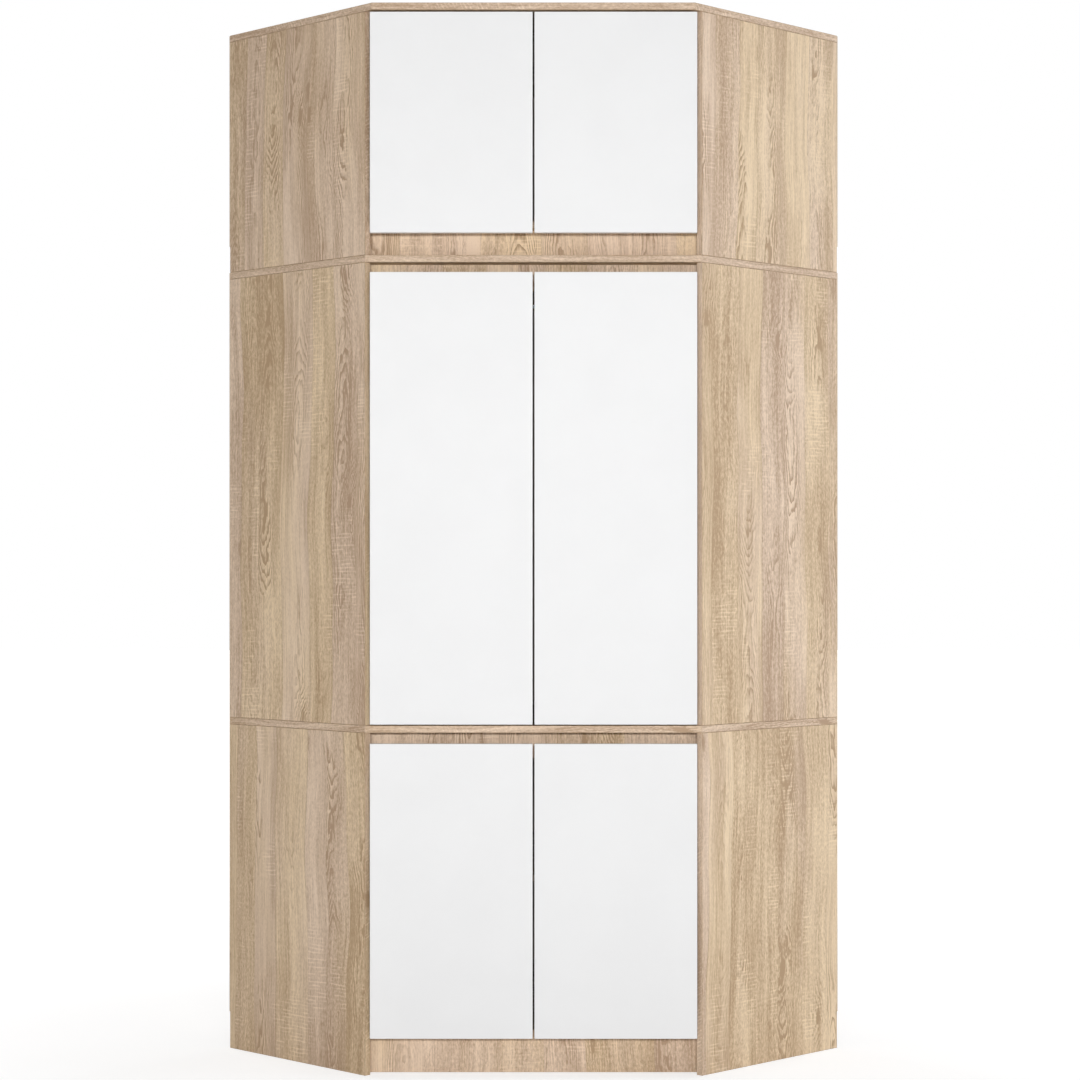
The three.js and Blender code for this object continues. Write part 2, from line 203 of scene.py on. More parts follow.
# Shelf pins: radius, length and rounding of pin and collar, and their shares of a side panel's run
SHELF_PIN_RADIUS = 0.0025
SHELF_PIN_PARTS = ((SHELF_PIN_RADIUS, 0.008, 0.0004), (0.0045, 0.0016, 0.0003))
SHELF_PIN_SHARES = (0.28, 0.82)

# Caps over the cam fittings: dome, distance from a side panel's ends, and shares of its run
CAP_DOME_SHARES = ((0, 0), (1, 0), (1, 0.0005), (0.94, 0.0011), (0.5, 0.0014), (0, 0.0015))
CAP_LEVEL = 0.034
CAP_SHARES = (0.2, 0.85)

# Oak print: widths of its planks on faces and on bands, step of the saw marks, curve of the arches
PLANK_WIDTH = 0.085
BAND_PLANK_WIDTH = 0.35
SAW_PITCH = 0.0082
ARCH_CURVE = 3600.0

# Stage: how far the floor reaches, its white, and how it glows and fades into the white background
FLOOR_HALF = 30
FLOOR_WHITE = (0.9, 0.9, 0.9)
FLOOR_GLOW = 1.35
FADE_START = 1.0
FADE_END = 3.5
FADE_SHARE = 0.5

# Soft lamps: name, place, width and height, tint, and the setting that holds the power
WHITE_LIGHT = (1.0, 1.0, 1.0)
COOL_LIGHT = (0.95, 1.0, 1.08)
LAMPS = (
    ("front_light", (0.0, -7.6, 1.85), (3.0, 0.6), WHITE_LIGHT, "front_power"),
    ("side_light", (6.2, -0.9, 1.8), (2.6, 2.6), COOL_LIGHT, "side_power"),
    ("top_light", (0.0, 0.2, 6.5), (3.0, 3.0), WHITE_LIGHT, "top_power"),
    ("rear_light_left", (-4.6, 4.6, 2.0), (2.6, 2.6), WHITE_LIGHT, "rear_power"),
    ("rear_light_right", (4.6, 4.6, 2.0), (2.6, 2.6), WHITE_LIGHT, "rear_power"),
)


def owners(word):
    """The CAD nodes whose name holds the word, each with the body that it rides on."""
    groups = frame["record"]["behaviour"]["bodies"]
    return {node: body for body, nodes in groups.items() for node in nodes if word in node}


def centre_of(node):
    """The middle of a CAD node's box."""
    low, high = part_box(node)
    return (low + high) / 2


def side_of(node):
    """Which way a left or right CAD node lies along X."""
    return HANDS["left" if "left" in node else "right"]


# Sizes, colours and stage settings that a user may change


def number(name, description, default, unit="NONE"):
    """A setting that holds a number."""
    return FloatProperty(name=name, description=description, default=default, unit=unit)


def colour(name, description, default):
    """A setting that holds a colour."""
    return FloatVectorProperty(name=name, description=description, default=default, subtype="COLOR")


metres = partial(number, unit="LENGTH")
watts = partial(number, unit="POWER")


class WardrobeSizes(bpy.types.PropertyGroup):
    """Sizes of the finishing details"""

    edge_round: metres("Board edge", "Rounding of the boards' edges", 0.001)
    door_round: metres("Door edge", "Rounding of the doors' edges", 0.001)
    sheet_round: metres("Back edge", "Rounding of the hardboard backs' edges", 0.0003)
    metal_round: metres("Metal edge", "Rounding of pressed metal edges", 0.00025)
    screw_radius: metres("Screw head", "Radius of a screw's head", 0.0036)
    cap_radius: metres("Fitting cap", "Radius of the caps over the cam fittings", 0.0085)
    nail_radius: metres("Nail head", "Radius of the nail heads on the backs", 0.002)
    nail_spacing: metres("Nail spacing", "Largest distance between two nails", 0.12)
    round_steps: IntProperty(name="Round steps", description="Sides of a round metal piece", default=48)


class WardrobeColours(bpy.types.PropertyGroup):
    """Colours of the finishes, as linear values"""

    oak_light: colour("Oak, light", "Lightest oak grain", (0.845, 0.687, 0.508))
    # The darkest grain also colours the brown edge line, which is partly painted shade
    oak_dark: colour("Oak, dark", "Darkest oak grain, and the lines along the edges", (0.449, 0.315, 0.2))
    oak_pink: colour("Oak, pink", "Tint of the pinkish planks", (0.99, 0.96, 0.985))
    oak_honey: colour("Oak, honey", "Tint of the yellowish planks", (1.0, 0.967, 0.885))
    white: colour("White", "The doors' laminate", (0.86, 0.86, 0.86))
    hardboard: colour("Hardboard, outside", "The backs' bare brown face", (0.30, 0.195, 0.115))
    hardboard_inside: colour("Hardboard, inside", "The backs' pale face", (0.66, 0.53, 0.39))
    chips: colour("Chipboard", "Bare cut edges", (0.50, 0.36, 0.22))
    nickel: colour("Nickel", "Hinges and screws", (0.66, 0.645, 0.62))
    chrome: colour("Chrome", "Hanging rail", (0.78, 0.79, 0.8))
    plastic: colour("Plastic", "Caps of rail and cam fittings", (0.58, 0.45, 0.33))


class WardrobeStage(bpy.types.PropertyGroup):
    """Camera and light"""

    camera_distance: metres("Distance", "Camera to the wardrobe's front", 5.658)
    camera_height: metres("Height", "Camera above the floor", 1.107)
    lens: number("Lens", "Focal length in millimetres", 86.27)
    shift_x: number("Shift X", "Sideways shift of the view", 0.006)
    shift_y: number("Shift Y", "Upward shift of the view", 0.0287)
    front_power: watts("Front light", "Power of the soft light over the camera", 293)
    side_power: watts("Side light", "Power of the soft light on the right", 99)
    top_power: watts("Top light", "Power of the soft light overhead", 117)
    rear_power: watts("Rear light", "Power of each soft light behind", 180)
    sky: number("Sky", "Strength of the even light all round", 0.126)


# Meshes


def merged_copy(node):
    """A CAD node's shape as a bmesh with shared corners and whole flat faces."""
    shape = bmesh.new()
    shape.from_mesh(frame["nodes"][node].data)
    for layer in list(shape.loops.layers.uv.values()):
        shape.loops.layers.uv.remove(layer)
    bmesh.ops.remove_doubles(shape, verts=shape.verts, dist=MERGE_DISTANCE)
    bmesh.ops.dissolve_limit(
        shape, angle_limit=FLAT_ANGLE, use_dissolve_boundaries=False, verts=shape.verts, edges=shape.edges
    )
    return shape


def round_edges(shape, edges, radius):
    """Bevels the edges with a round profile, unless the radius is zero."""
    if radius:
        bmesh.ops.bevel(
            shape,
            geom=edges,
            offset=radius,
            offset_type="OFFSET",
            segments=2,
            profile=0.5,
            affect="EDGES",
            clamp_overlap=True,
            material=-1,
        )


def sharp_edges(edges):
    """Those of the edges at which the surface turns too far to look smooth."""
    return [edge for edge in edges if edge.is_manifold and edge.calc_face_angle() > SMOOTH_ANGLE]


def edges_of(verts):
    """All edges that end at the vertices."""
    return {edge for vert in verts for edge in vert.link_edges}


def finish_piece(name, shape, materials, body, replaced=(), smooth=True):
    """Makes the bmesh an object that rides on its body and stands for the replaced CAD nodes."""
    mesh = bpy.data.meshes.new(name)
    shape.to_mesh(mesh)
    shape.free()
    for finish in materials:
        mesh.materials.append(material(finish))
    if smooth:
        mesh.shade_smooth()
        mesh.set_sharp_from_angle(angle=SMOOTH_ANGLE)
    else:
        mesh.shade_flat()
    piece = bpy.data.objects.new(name, mesh)
    bpy.context.scene.collection.objects.link(piece)
    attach(piece, body)
    if replaced:
        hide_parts(*replaced)


def turn_to(axis):
    """A rotation that takes the Z axis to the given one."""
    return UP.rotation_difference(axis).to_matrix().to_4x4()


def add_bar(shape, centre, axis, radius, length, steps, soften=0.0):
    """Adds a closed round bar, centred at a place, along an axis."""
    made = bmesh.ops.create_cone(
        shape,
        cap_ends=True,
        segments=steps,
        radius1=radius,
        radius2=radius,
        depth=length,
        matrix=Matrix.Translation(centre) @ turn_to(axis),
    )
    round_edges(shape, sharp_edges(edges_of(made["verts"])), soften)


def add_block(shape, place, low, high, soften):
    """Adds a closed block between two corners, set in place by a matrix, with rounded edges."""
    middle = (low + high) / 2
    size = high - low
    matrix = place @ Matrix.Translation(middle) @ Matrix.Diagonal((*size, 1))
    made = bmesh.ops.create_cube(shape, size=1, matrix=matrix)
    round_edges(shape, list(edges_of(made["verts"])), soften)


def add_slab(shape, place, outline, low, high, soften):
    """Adds an outline in the XY plane, extruded from a low to a high Z and set in place by a matrix."""
    base = shape.faces.new([shape.verts.new((x, y, low)) for x, y in outline])
    raised = bmesh.ops.extrude_face_region(shape, geom=[base], use_keep_orig=True)["geom"]
    top = [item for item in raised if isinstance(item, bmesh.types.BMVert)]
    bmesh.ops.translate(shape, verts=top, vec=(0, 0, high - low))
    verts = list(base.verts) + top
    bmesh.ops.transform(shape, matrix=place, verts=verts)
    faces = list({face for vert in verts for face in vert.link_faces})
    bmesh.ops.recalc_face_normals(shape, faces=faces)
    round_edges(shape, sharp_edges(edges_of(verts)), soften)


def add_lathed(shape, place, profile, steps):
    """Adds a profile of radii and heights, closed and spun about the Z axis, set in place by a matrix."""
    verts = [shape.verts.new((radius, 0, height)) for radius, height in profile]
    edges = [shape.edges.new(pair) for pair in zip(verts, verts[1:])]
    if profile[0][0] or profile[-1][0]:
        edges.append(shape.edges.new((verts[-1], verts[0])))
    before = set(shape.verts) - set(verts)
    bmesh.ops.spin(
        shape, geom=verts + edges, cent=(0, 0, 0), axis=UP, angle=2 * math.pi, steps=steps, use_merge=True
    )
    turned = [vert for vert in shape.verts if vert not in before]
    bmesh.ops.remove_doubles(shape, verts=turned, dist=MERGE_DISTANCE)
    turned = [vert for vert in shape.verts if vert not in before]
    bmesh.ops.transform(shape, matrix=place, verts=turned)
    faces = list({face for vert in turned for face in vert.link_faces})
    bmesh.ops.recalc_face_normals(shape, faces=faces)


def tube_wall(inner, outer, half, soften):
    """The profile of a round wall from end to end, with its outer rims cut off."""
    end = [(inner, -half), (outer - soften, -half), (outer, soften - half)]
    return end + [(reach, -height) for reach, height in reversed(end)]


def rounded_bar(reach, radius, steps):
    """The outline of a flat bar along Y with half-round ends."""
    turns = [math.pi * step / steps for step in range(steps + 1)]
    upper = [(radius * math.cos(turn), reach + radius * math.sin(turn)) for turn in turns]
    lower = [(-x, -y) for x, y in upper]
    return upper + lower


def add_screw(shape, spot, axis, radius):
    """Adds a domed screw head with a cross recess, standing on a surface."""
    head = bmesh.new()
    recess = radius * RECESS_SHARE
    height = radius * HEAD_HEIGHT_SHARE
    level = Matrix.Translation((0, 0, height))
    bmesh.ops.create_grid(head, x_segments=3, y_segments=3, size=recess, matrix=level)
    cross = []
    for face in head.faces:
        middle = face.calc_center_median()
        if min(abs(middle.x), abs(middle.y)) < recess / 3:
            cross.append(face)
    rim = [edge for edge in head.edges if edge.is_boundary]
    slimmed = [vert for vert in head.verts if not vert.is_boundary]
    bmesh.ops.scale(head, verts=slimmed, vec=(SLOT_SHARE, SLOT_SHARE, 1), space=level.inverted())
    depth = -height * SLOT_DEPTH_SHARE
    bmesh.ops.inset_region(head, faces=cross, thickness=radius * SLOT_RIM_SHARE, depth=depth)
    for radius_share, height_share in RIM_SHARES:
        raised = bmesh.ops.extrude_edge_only(head, edges=rim)["geom"]
        rim = [item for item in raised if isinstance(item, bmesh.types.BMEdge)]
        for vert in {vert for edge in rim for vert in edge.verts}:
            outwards = Vector((vert.co.x, vert.co.y, 0)).normalized() * radius * radius_share
            vert.co = (outwards.x, outwards.y, height * height_share)
    bmesh.ops.contextual_create(head, geom=rim)
    bmesh.ops.recalc_face_normals(head, faces=head.faces)
    bmesh.ops.transform(head, matrix=Matrix.Translation(spot) @ turn_to(axis), verts=head.verts)
    mesh = bpy.data.meshes.new("screw_head")
    head.to_mesh(mesh)
    head.free()
    shape.from_mesh(mesh)
    bpy.data.meshes.remove(mesh)


def faces_room(normal):
    """Whether a board's edge looks forwards, or sideways and neither up nor down."""
    return normal.y < -ROOM_LIMIT or normal.y < ROOM_LIMIT and abs(normal.z) < LEVEL_LIMIT


def lay_grain(shape, grain, broad, cut, rest):
    """Lays the print on each face in metres, with the grain along the board or its edge, and picks a finish.

    Edges that face the room are banded, and other edges get the rest. The brown edge line on the rounded edges
    between laminate and band is partly the laminate's own brown cut edge and partly painted shade of the groove
    where boards meet.
    """
    layer = shape.loops.layers.uv.new(GRAIN_MAP)
    start = Vector([cut * step for step in CUT_STEP])
    for face in shape.faces:
        normal = face.normal
        lean = abs(normal.dot(broad))
        flat = lean > FLAT_COSINE
        along = grain if flat else normal.cross(broad)
        along = (along - normal * along.dot(normal)).normalized()
        across = normal.cross(along)
        for loop in face.loops:
            spot = loop.vert.co
            loop[layer].uv = start + Vector((spot.dot(across), spot.dot(along)))
        if flat:
            face.material_index = LAMINATE
        elif lean > EDGE_COSINE:
            # Rounded edges take the brown edge line, partly painted shade of the groove between boards
            face.material_index = EDGE_LINE_AND_SHADE
        else:
            face.material_index = BAND if faces_room(normal) else rest


# Materials


class Shading:
    """The nodes of one material or world, made and linked in short calls."""

    def __init__(self, owner, shader="Principled BSDF"):
        owner.use_nodes = True
        self.tree = owner.node_tree
        self.shader = self.tree.nodes[shader]

    def feed(self, socket, value):
        """Links an output to the socket, or sets its value and a colour's opacity."""
        if isinstance(value, bpy.types.NodeSocket):
            self.tree.links.new(value, socket)
        elif socket.type == "RGBA":
            socket.default_value = (*value, 1.0)
        else:
            socket.default_value = value

    def node(self, kind, inputs, **settings):
        """Adds a node, sets its properties and fills its inputs by name or number."""
        made = self.tree.nodes.new(kind)
        for key, value in settings.items():
            setattr(made, key, value)
        for socket, value in inputs.items():
            self.feed(made.inputs[socket], value)
        return made

    def place(self):
        """The piece's own coordinates in metres."""
        return self.node("ShaderNodeTexCoord", {}).outputs["Object"]

    def stretch(self, vector, scale):
        """The vector times a scale for each axis."""
        return self.node("ShaderNodeVectorMath", {0: vector, 1: scale}, operation="MULTIPLY").outputs[0]

    def shift(self, vector, offset):
        """The sum of two vectors."""
        return self.node("ShaderNodeVectorMath", {0: vector, 1: offset}, operation="ADD").outputs[0]

    def parts(self, vector):
        """The three numbers of a vector or colour."""
        return tuple(self.node("ShaderNodeSeparateXYZ", {0: vector}).outputs)

    def maths(self, operation, *values):
        """A step of arithmetic on numbers and outputs."""
        return self.node("ShaderNodeMath", dict(enumerate(values)), operation=operation).outputs[0]

    def sums(self, *values):
        """The sum of numbers and outputs."""
        return reduce(partial(self.maths, "ADD"), values)

    def times(self, *values):
        """The product of numbers and outputs."""
        return reduce(partial(self.maths, "MULTIPLY"), values)

    def noise(self, vector, waves, detail, roughness):
        """A soft noise with so many waves per metre on all axes, or on each."""
        scale = waves if isinstance(waves, tuple) else (waves,) * 3
        place = self.stretch(vector, scale)
        inputs = {"Vector": place, "Scale": 1.0, "Detail": detail, "Roughness": roughness}
        return self.node("ShaderNodeTexNoise", inputs).outputs[0]

    def around(self, value, swing):
        """Turns a noise about one half into a swing about zero."""
        return self.times(self.maths("SUBTRACT", value, 0.5), swing)

    def step(self, value, low, high, start=0.0, end=1.0):
        """A smooth step from the start to the end as the value goes from low to high."""
        inputs = {"Value": value, "From Min": low, "From Max": high, "To Min": start, "To Max": end}
        return self.node("ShaderNodeMapRange", inputs, interpolation_type="SMOOTHSTEP").outputs[0]

    def mix(self, factor, first, second, blend="MIX"):
        """A mix of two colours."""
        inputs = {0: factor, 6: first, 7: second}
        return self.node("ShaderNodeMix", inputs, data_type="RGBA", blend_type=blend).outputs[2]

    def tones(self, factor, value, dark, pale=1.0):
        """A mix of a dark and a pale share of one colour."""
        first, second = ([part * share for part in value] for share in (dark, pale))
        return self.mix(factor, first, second)

    def seen(self):
        """One for camera, glossy and transmission rays, and zero for all other light."""
        rays = self.node("ShaderNodeLightPath", {}).outputs
        kinds = [rays[f"Is {kind} Ray"] for kind in ("Camera", "Glossy", "Transmission")]
        return self.maths("MINIMUM", self.sums(*kinds), 1.0)

    def bump(self, height, depth, strength):
        """Gives the surface a relief, with its depth in metres."""
        inputs = {"Height": height, "Distance": depth, "Strength": strength}
        self.feed(self.shader.inputs["Normal"], self.node("ShaderNodeBump", inputs).outputs[0])

    def finish(self, **values):
        """Feeds the shader's inputs, named with low lines for spaces."""
        for name, value in values.items():
            self.feed(self.shader.inputs[name.replace("_", " ")], value)


def oak_planks(nodes, across, width):
    """The colour of each plank's own traits, and the distances from its middle and to its seams."""
    cells = {"W": across, "Scale": 1 / width, "Randomness": 0.8}
    planks = nodes.node("ShaderNodeTexVoronoi", cells, voronoi_dimensions="1D").outputs
    seams = nodes.node("ShaderNodeTexVoronoi", cells, voronoi_dimensions="1D", feature="DISTANCE_TO_EDGE")
    middle_gap = nodes.maths("DIVIDE", planks["Distance"], 1 / width)
    return planks["Color"], middle_gap, seams.outputs["Distance"]


def oak_knots(nodes, piece):
    """A few knots among the planks, and the halo in which each pushes the growth lines aside."""
    cells = {"Vector": nodes.stretch(piece, (7.0, 2.6, 1.0)), "Scale": 1.0, "Randomness": 1.0}
    spots = nodes.node("ShaderNodeTexVoronoi", cells, voronoi_dimensions="2D").outputs
    chosen = nodes.step(nodes.parts(spots["Color"])[0], 0.70, 0.72)
    rough = nodes.noise(piece, (160.0, 60.0, 1.0), 2.0, 0.6)
    ragged = nodes.sums(spots["Distance"], nodes.around(rough, 0.07))
    knot = nodes.times(nodes.step(ragged, 0.015, 0.07, 1.0, 0.0), chosen)
    halo = nodes.times(nodes.step(ragged, 0.0, 0.30, 1.0, 0.0), chosen)
    return knot, halo


def oak_growth(nodes, piece, middle_gap, halo, figured):
    """Growth lines that arch along the middle of a plank and run straight beside it."""
    climb = nodes.noise(piece, (0.6, 1.7, 1.0), 1.5, 0.45)
    wander = nodes.noise(piece, (46.0, 13.0, 1.0), 2.0, 0.55)
    lines = nodes.maths("FRACT", nodes.sums(
        nodes.times(middle_gap, middle_gap, ARCH_CURVE),
        nodes.times(climb, 30.0),
        nodes.around(wander, 3.2),
        nodes.times(halo, 4.0),
    ))
    rings = nodes.times(
        nodes.maths("POWER", nodes.step(lines, 0.2, 0.92), 1.7),
        nodes.maths("SUBTRACT", 1.0, nodes.step(lines, 0.92, 1.0)),
    )
    drawn = nodes.noise(piece, (15.0, 3.2, 1.0), 2.0, 0.5)
    depth = nodes.sums(
        nodes.times(nodes.step(figured, 0.2, 0.85, 0.25, 1.05), nodes.step(drawn, 0.42, 0.60)),
        nodes.times(halo, 0.5),
    )
    return nodes.times(rings, depth)


def oak_saw_marks(nodes, piece, across, along, slant):
    """Pale saw marks that run across some planks in short broken strokes."""
    wave = nodes.maths("SINE", nodes.sums(
        nodes.times(along, 2 * math.pi / SAW_PITCH),
        nodes.times(across, slant),
        nodes.around(nodes.noise(piece, (15.0, 30.0, 1.0), 1.0, 0.5), 6.0),
    ))
    patches = nodes.noise(piece, (9.0, 4.0, 1.0), 1.5, 0.5)
    broken = nodes.noise(piece, (26.0, 130.0, 1.0), 1.0, 0.5)
    mask = nodes.times(nodes.step(patches, 0.53, 0.66), nodes.step(broken, 0.38, 0.62))
    return nodes.times(nodes.step(wave, -0.25, 1.0), mask)


def make_oak(nodes, colours, width, slant, painted_lift=0.0, blush=0.0):
    """Rustic oak print: planks side by side, each with its own arches, fibres, saw marks and rare knots."""
    grain = nodes.node("ShaderNodeUVMap", {}, uv_map=GRAIN_MAP).outputs[0]

    # The fibres wander a little as they run along the board
    sway = nodes.around(nodes.noise(grain, (2.6, 2.4, 1.0), 1.5, 0.5), 0.06)
    bent = nodes.shift(grain, nodes.node("ShaderNodeCombineXYZ", {0: sway}).outputs[0])
    across, along = nodes.parts(bent)[:2]

    plank, middle_gap, seam_gap = oak_planks(nodes, across, width)
    figured, toned, tinted = nodes.parts(plank)
    piece = nodes.shift(bent, nodes.stretch(plank, (5.0, 17.0, 3.0)))
    knot, halo = oak_knots(nodes, piece)
    growth = oak_growth(nodes, piece, middle_gap, halo, figured)
    saw = oak_saw_marks(nodes, piece, across, along, slant)

    fibres = nodes.noise(piece, (300.0, 6.0, 1.0), 3.0, 0.65)
    hairs = nodes.noise(piece, (1300.0, 34.0, 1.0), 2.0, 0.6)
    flecks = nodes.noise(piece, (260.0, 110.0, 1.0), 2.0, 0.65)
    pores = nodes.step(nodes.noise(piece, (900.0, 60.0, 1.0), 1.0, 0.5), 0.60, 0.70)
    clouds = nodes.noise(grain, (5.0, 1.3, 1.0), 2.0, 0.5)
    bands = nodes.noise(piece, (34.0, 1.3, 1.0), 3.0, 0.6)
    seam = nodes.step(seam_gap, 0.004, 0.03, 1.0, 0.0)

    # The lift raises the tone of the strips' paler copy of the oak, as painted light in their recess behind the
    # doors
    tone = nodes.sums(
        0.56 + painted_lift,
        nodes.around(toned, 0.26),
        nodes.around(clouds, 1.15),
        nodes.around(bands, 1.3),
        nodes.around(fibres, 1.25),
        nodes.around(hairs, 0.5),
        nodes.around(flecks, nodes.step(toned, 0.2, 0.9, 1.5, 0.7)),
        nodes.times(pores, -0.16),
        nodes.times(growth, -1.0),
        nodes.times(saw, 0.36),
        nodes.times(knot, -0.75),
        nodes.times(seam, toned, -0.25),
    )
    hue = nodes.sums(tinted, nodes.around(nodes.noise(grain, (9.0, 1.6, 1.0), 2.0, 0.5), 1.6), -blush)
    tint = nodes.mix(nodes.step(hue, 0.1, 0.9), colours.oak_pink, colours.oak_honey)
    wood = nodes.mix(1.0, nodes.mix(tone, colours.oak_dark, colours.oak_light), tint, "MULTIPLY")
    relief = nodes.sums(nodes.around(fibres, 0.6), nodes.times(pores, -0.5), nodes.times(saw, 0.4))
    nodes.bump(relief, 0.00012, 0.6)
    sheen = nodes.step(fibres, 0.2, 0.8, 0.66, 0.54)
    nodes.finish(Base_Color=wood, Roughness=sheen, Specular_IOR_Level=0.35)


def make_edge_line_and_shade(nodes, colours):
    """The brown line where laminate and edge band meet, a little uneven along the edge: partly the cut edge's own
    brown, partly painted shade of the groove between boards.
    """
    place = nodes.place()
    wear = nodes.noise(place, 60.0, 3.0, 0.6)
    grit = nodes.noise(place, 900.0, 2.0, 0.5)
    line = nodes.tones(nodes.step(wear, 0.35, 0.65), colours.oak_dark, 0.8, 1.2)
    nodes.bump(grit, 0.0001, 0.5)
    nodes.finish(Base_Color=line, Roughness=nodes.step(grit, 0.2, 0.8, 0.55, 0.7))


def make_chipboard(nodes, colours):
    """Bare chipboard: pale and dark chips pressed together."""
    place = nodes.place()
    cells = {"Vector": nodes.stretch(place, (420.0, 420.0, 700.0)), "Scale": 1.0}
    chips = nodes.node("ShaderNodeTexVoronoi", cells).outputs["Color"]
    grit = nodes.noise(place, 900.0, 3.0, 0.6)
    shade = nodes.times(nodes.parts(chips)[0], grit)
    nodes.bump(nodes.sums(shade, grit), 0.0003, 0.7)
    nodes.finish(Base_Color=nodes.tones(nodes.step(shade, 0.1, 0.6), colours.chips, 0.55), Roughness=0.85)


def make_white(nodes, colours, gloss):
    """White melamine with a faint pearl relief."""
    place = nodes.place()
    cloud = nodes.noise(place, 6.0, 3.0, 0.5)
    pearl = nodes.noise(place, 700.0, 2.0, 0.5)
    shade = nodes.tones(nodes.step(cloud, 0.35, 0.65), colours.white, 0.985)
    nodes.bump(pearl, 0.00005, 0.5)
    nodes.finish(Base_Color=shade, Roughness=nodes.step(pearl, 0.2, 0.8, gloss - 0.04, gloss + 0.04))


def make_hardboard(nodes, colours, shade, mottle):
    """Pressed fibreboard with a fine mottled surface."""
    place = nodes.place()
    cloud = nodes.noise(place, 45.0, 4.0, 0.65)
    fluff = nodes.noise(place, 500.0, 3.0, 0.7)
    tone = nodes.sums(nodes.times(cloud, 0.5), nodes.times(fluff, 0.5))
    sheet = nodes.tones(nodes.step(tone, 0.35, 0.65), getattr(colours, shade), 1 - mottle)
    nodes.bump(fluff, 0.0001, 0.6)
    nodes.finish(Base_Color=sheet, Roughness=nodes.step(fluff, 0.2, 0.8, 0.6, 0.75))


def make_metal(nodes, colours, plating, roughness, waves):
    """Plated metal with faint drawn lines."""
    drawn = nodes.noise(nodes.place(), waves, 3.0, 0.6)
    plate = nodes.tones(nodes.step(drawn, 0.3, 0.7), getattr(colours, plating), 0.95)
    nodes.bump(drawn, 0.000008, 0.3)
    sheen = nodes.step(drawn, 0.2, 0.8, roughness * 0.92, roughness * 1.08)
    nodes.finish(Base_Color=plate, Roughness=sheen, Metallic=1.0)


def make_plastic(nodes, colours):
    """Moulded plastic with a fine grained surface."""
    grit = nodes.noise(nodes.place(), 1500.0, 2.0, 0.5)
    nodes.bump(grit, 0.00005, 0.5)
    nodes.finish(Base_Color=nodes.tones(nodes.step(grit, 0.3, 0.7), colours.plastic, 0.88), Roughness=0.45)


FINISHES = {
    "oak_face": partial(make_oak, width=PLANK_WIDTH, slant=12.0),
    # The strips' oak is a paler copy: painted light that brightens the rails and plinths in their recess
    "oak_strip": partial(make_oak, width=PLANK_WIDTH, slant=12.0, painted_lift=0.12, blush=0.35),
    "oak_band": partial(make_oak, width=BAND_PLANK_WIDTH, slant=420.0, blush=0.3),
    "edge_line": make_edge_line_and_shade,
    "bare_chipboard": make_chipboard,
    "white_face": partial(make_white, gloss=0.5),
    "white_band": partial(make_white, gloss=0.42),
    "hardboard_outside": partial(make_hardboard, shade="hardboard", mottle=0.22),
    "hardboard_inside": partial(make_hardboard, shade="hardboard_inside", mottle=0.12),
    "nickel_plate": partial(make_metal, plating="nickel", roughness=0.26, waves=(150.0, 150.0, 1500.0)),
    "chrome_plate": partial(make_metal, plating="chrome", roughness=0.12, waves=(12.0, 700.0, 700.0)),
    "cap_plastic": make_plastic,
}


def material(name):
    """One of the wardrobe's finishes, made when it is first asked for."""
    made = bpy.data.materials.get(name)
    if not made:
        made = bpy.data.materials.new(name)
        FINISHES[name](Shading(made), bpy.context.scene.wardrobe_colours)
    return made


# Pieces


def dress_board(node, grain, cut, laminate, rest):
    """Stands a laminated board with banded edges in a CAD board's place."""
    shape = merged_copy(node)
    broad = max(shape.faces, key=lambda face: face.calc_area()).normal.copy()
    round_edges(shape, sharp_edges(shape.edges), bpy.context.scene.wardrobe_sizes.edge_round)
    shape.normal_update()
    lay_grain(shape, grain, broad, cut, rest)
    finishes = [laminate, "oak_band", "bare_chipboard", "edge_line"]
    finish_piece(f"{node}_laminated", shape, finishes, CARCASS, [node], smooth=False)


class WARDROBE_OT_boards(bpy.types.Operator):
    """Lay oak laminate and edge bands on the boards, side panels, plinths and rails"""

    bl_idname = "wardrobe.boards"
    bl_label = "Boards"

    def execute(self, context):
        lying = ("middle_board", "wardrobe_top_board", "top_box_top_board")
        lying += ("bottom_board", "lower_shelf", "top_box_bottom_board")
        strips = ("plinth", "lower_rail", "upper_rail", "top_box_plinth", "rear_support")
        sides = tuple(f"{storey}_{hand}_side" for storey in STOREYS for hand in HANDS)
        for cut, node in enumerate(lying + strips + sides, FIRST_CUT):
            grain = SIDEWAYS if node in lying else UP
            # Rails and plinths take the paler oak copy, painted light for their recess behind the doors
            laminate, rest = ("oak_strip", BAND) if node in strips else ("oak_face", CHIPBOARD)
            dress_board(node, grain, cut, laminate, rest)
        return {"FINISHED"}


def skins(spot, low, high):
    """How many of a box's six faces the spot lies on."""
    return sum(min(abs(spot[n] - low[n]), abs(spot[n] - high[n])) < SKIN for n in range(3))


class WARDROBE_OT_doors(bpy.types.Operator):
    """Give the doors white laminate, edge bands and bare bores"""

    bl_idname = "wardrobe.doors"
    bl_label = "Doors"

    def execute(self, context):
        for node, body in owners("_door").items():
            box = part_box(node)
            shape = merged_copy(node)
            middles = {edge: (edge.verts[0].co + edge.verts[1].co) / 2 for edge in sharp_edges(shape.edges)}
            outer = [edge for edge, spot in middles.items() if skins(spot, *box) > 1]
            round_edges(shape, outer, context.scene.wardrobe_sizes.door_round)
            shape.normal_update()
            for face in shape.faces:
                if not skins(face.calc_center_median(), *box):
                    face.material_index = CHIPBOARD
                elif abs(face.normal.y) < FLAT_COSINE:
                    face.material_index = BAND
            white = ["white_face", "white_band", "bare_chipboard"]
            finish_piece(f"{node}_laminated", shape, white, body, [node], smooth=False)
        return {"FINISHED"}


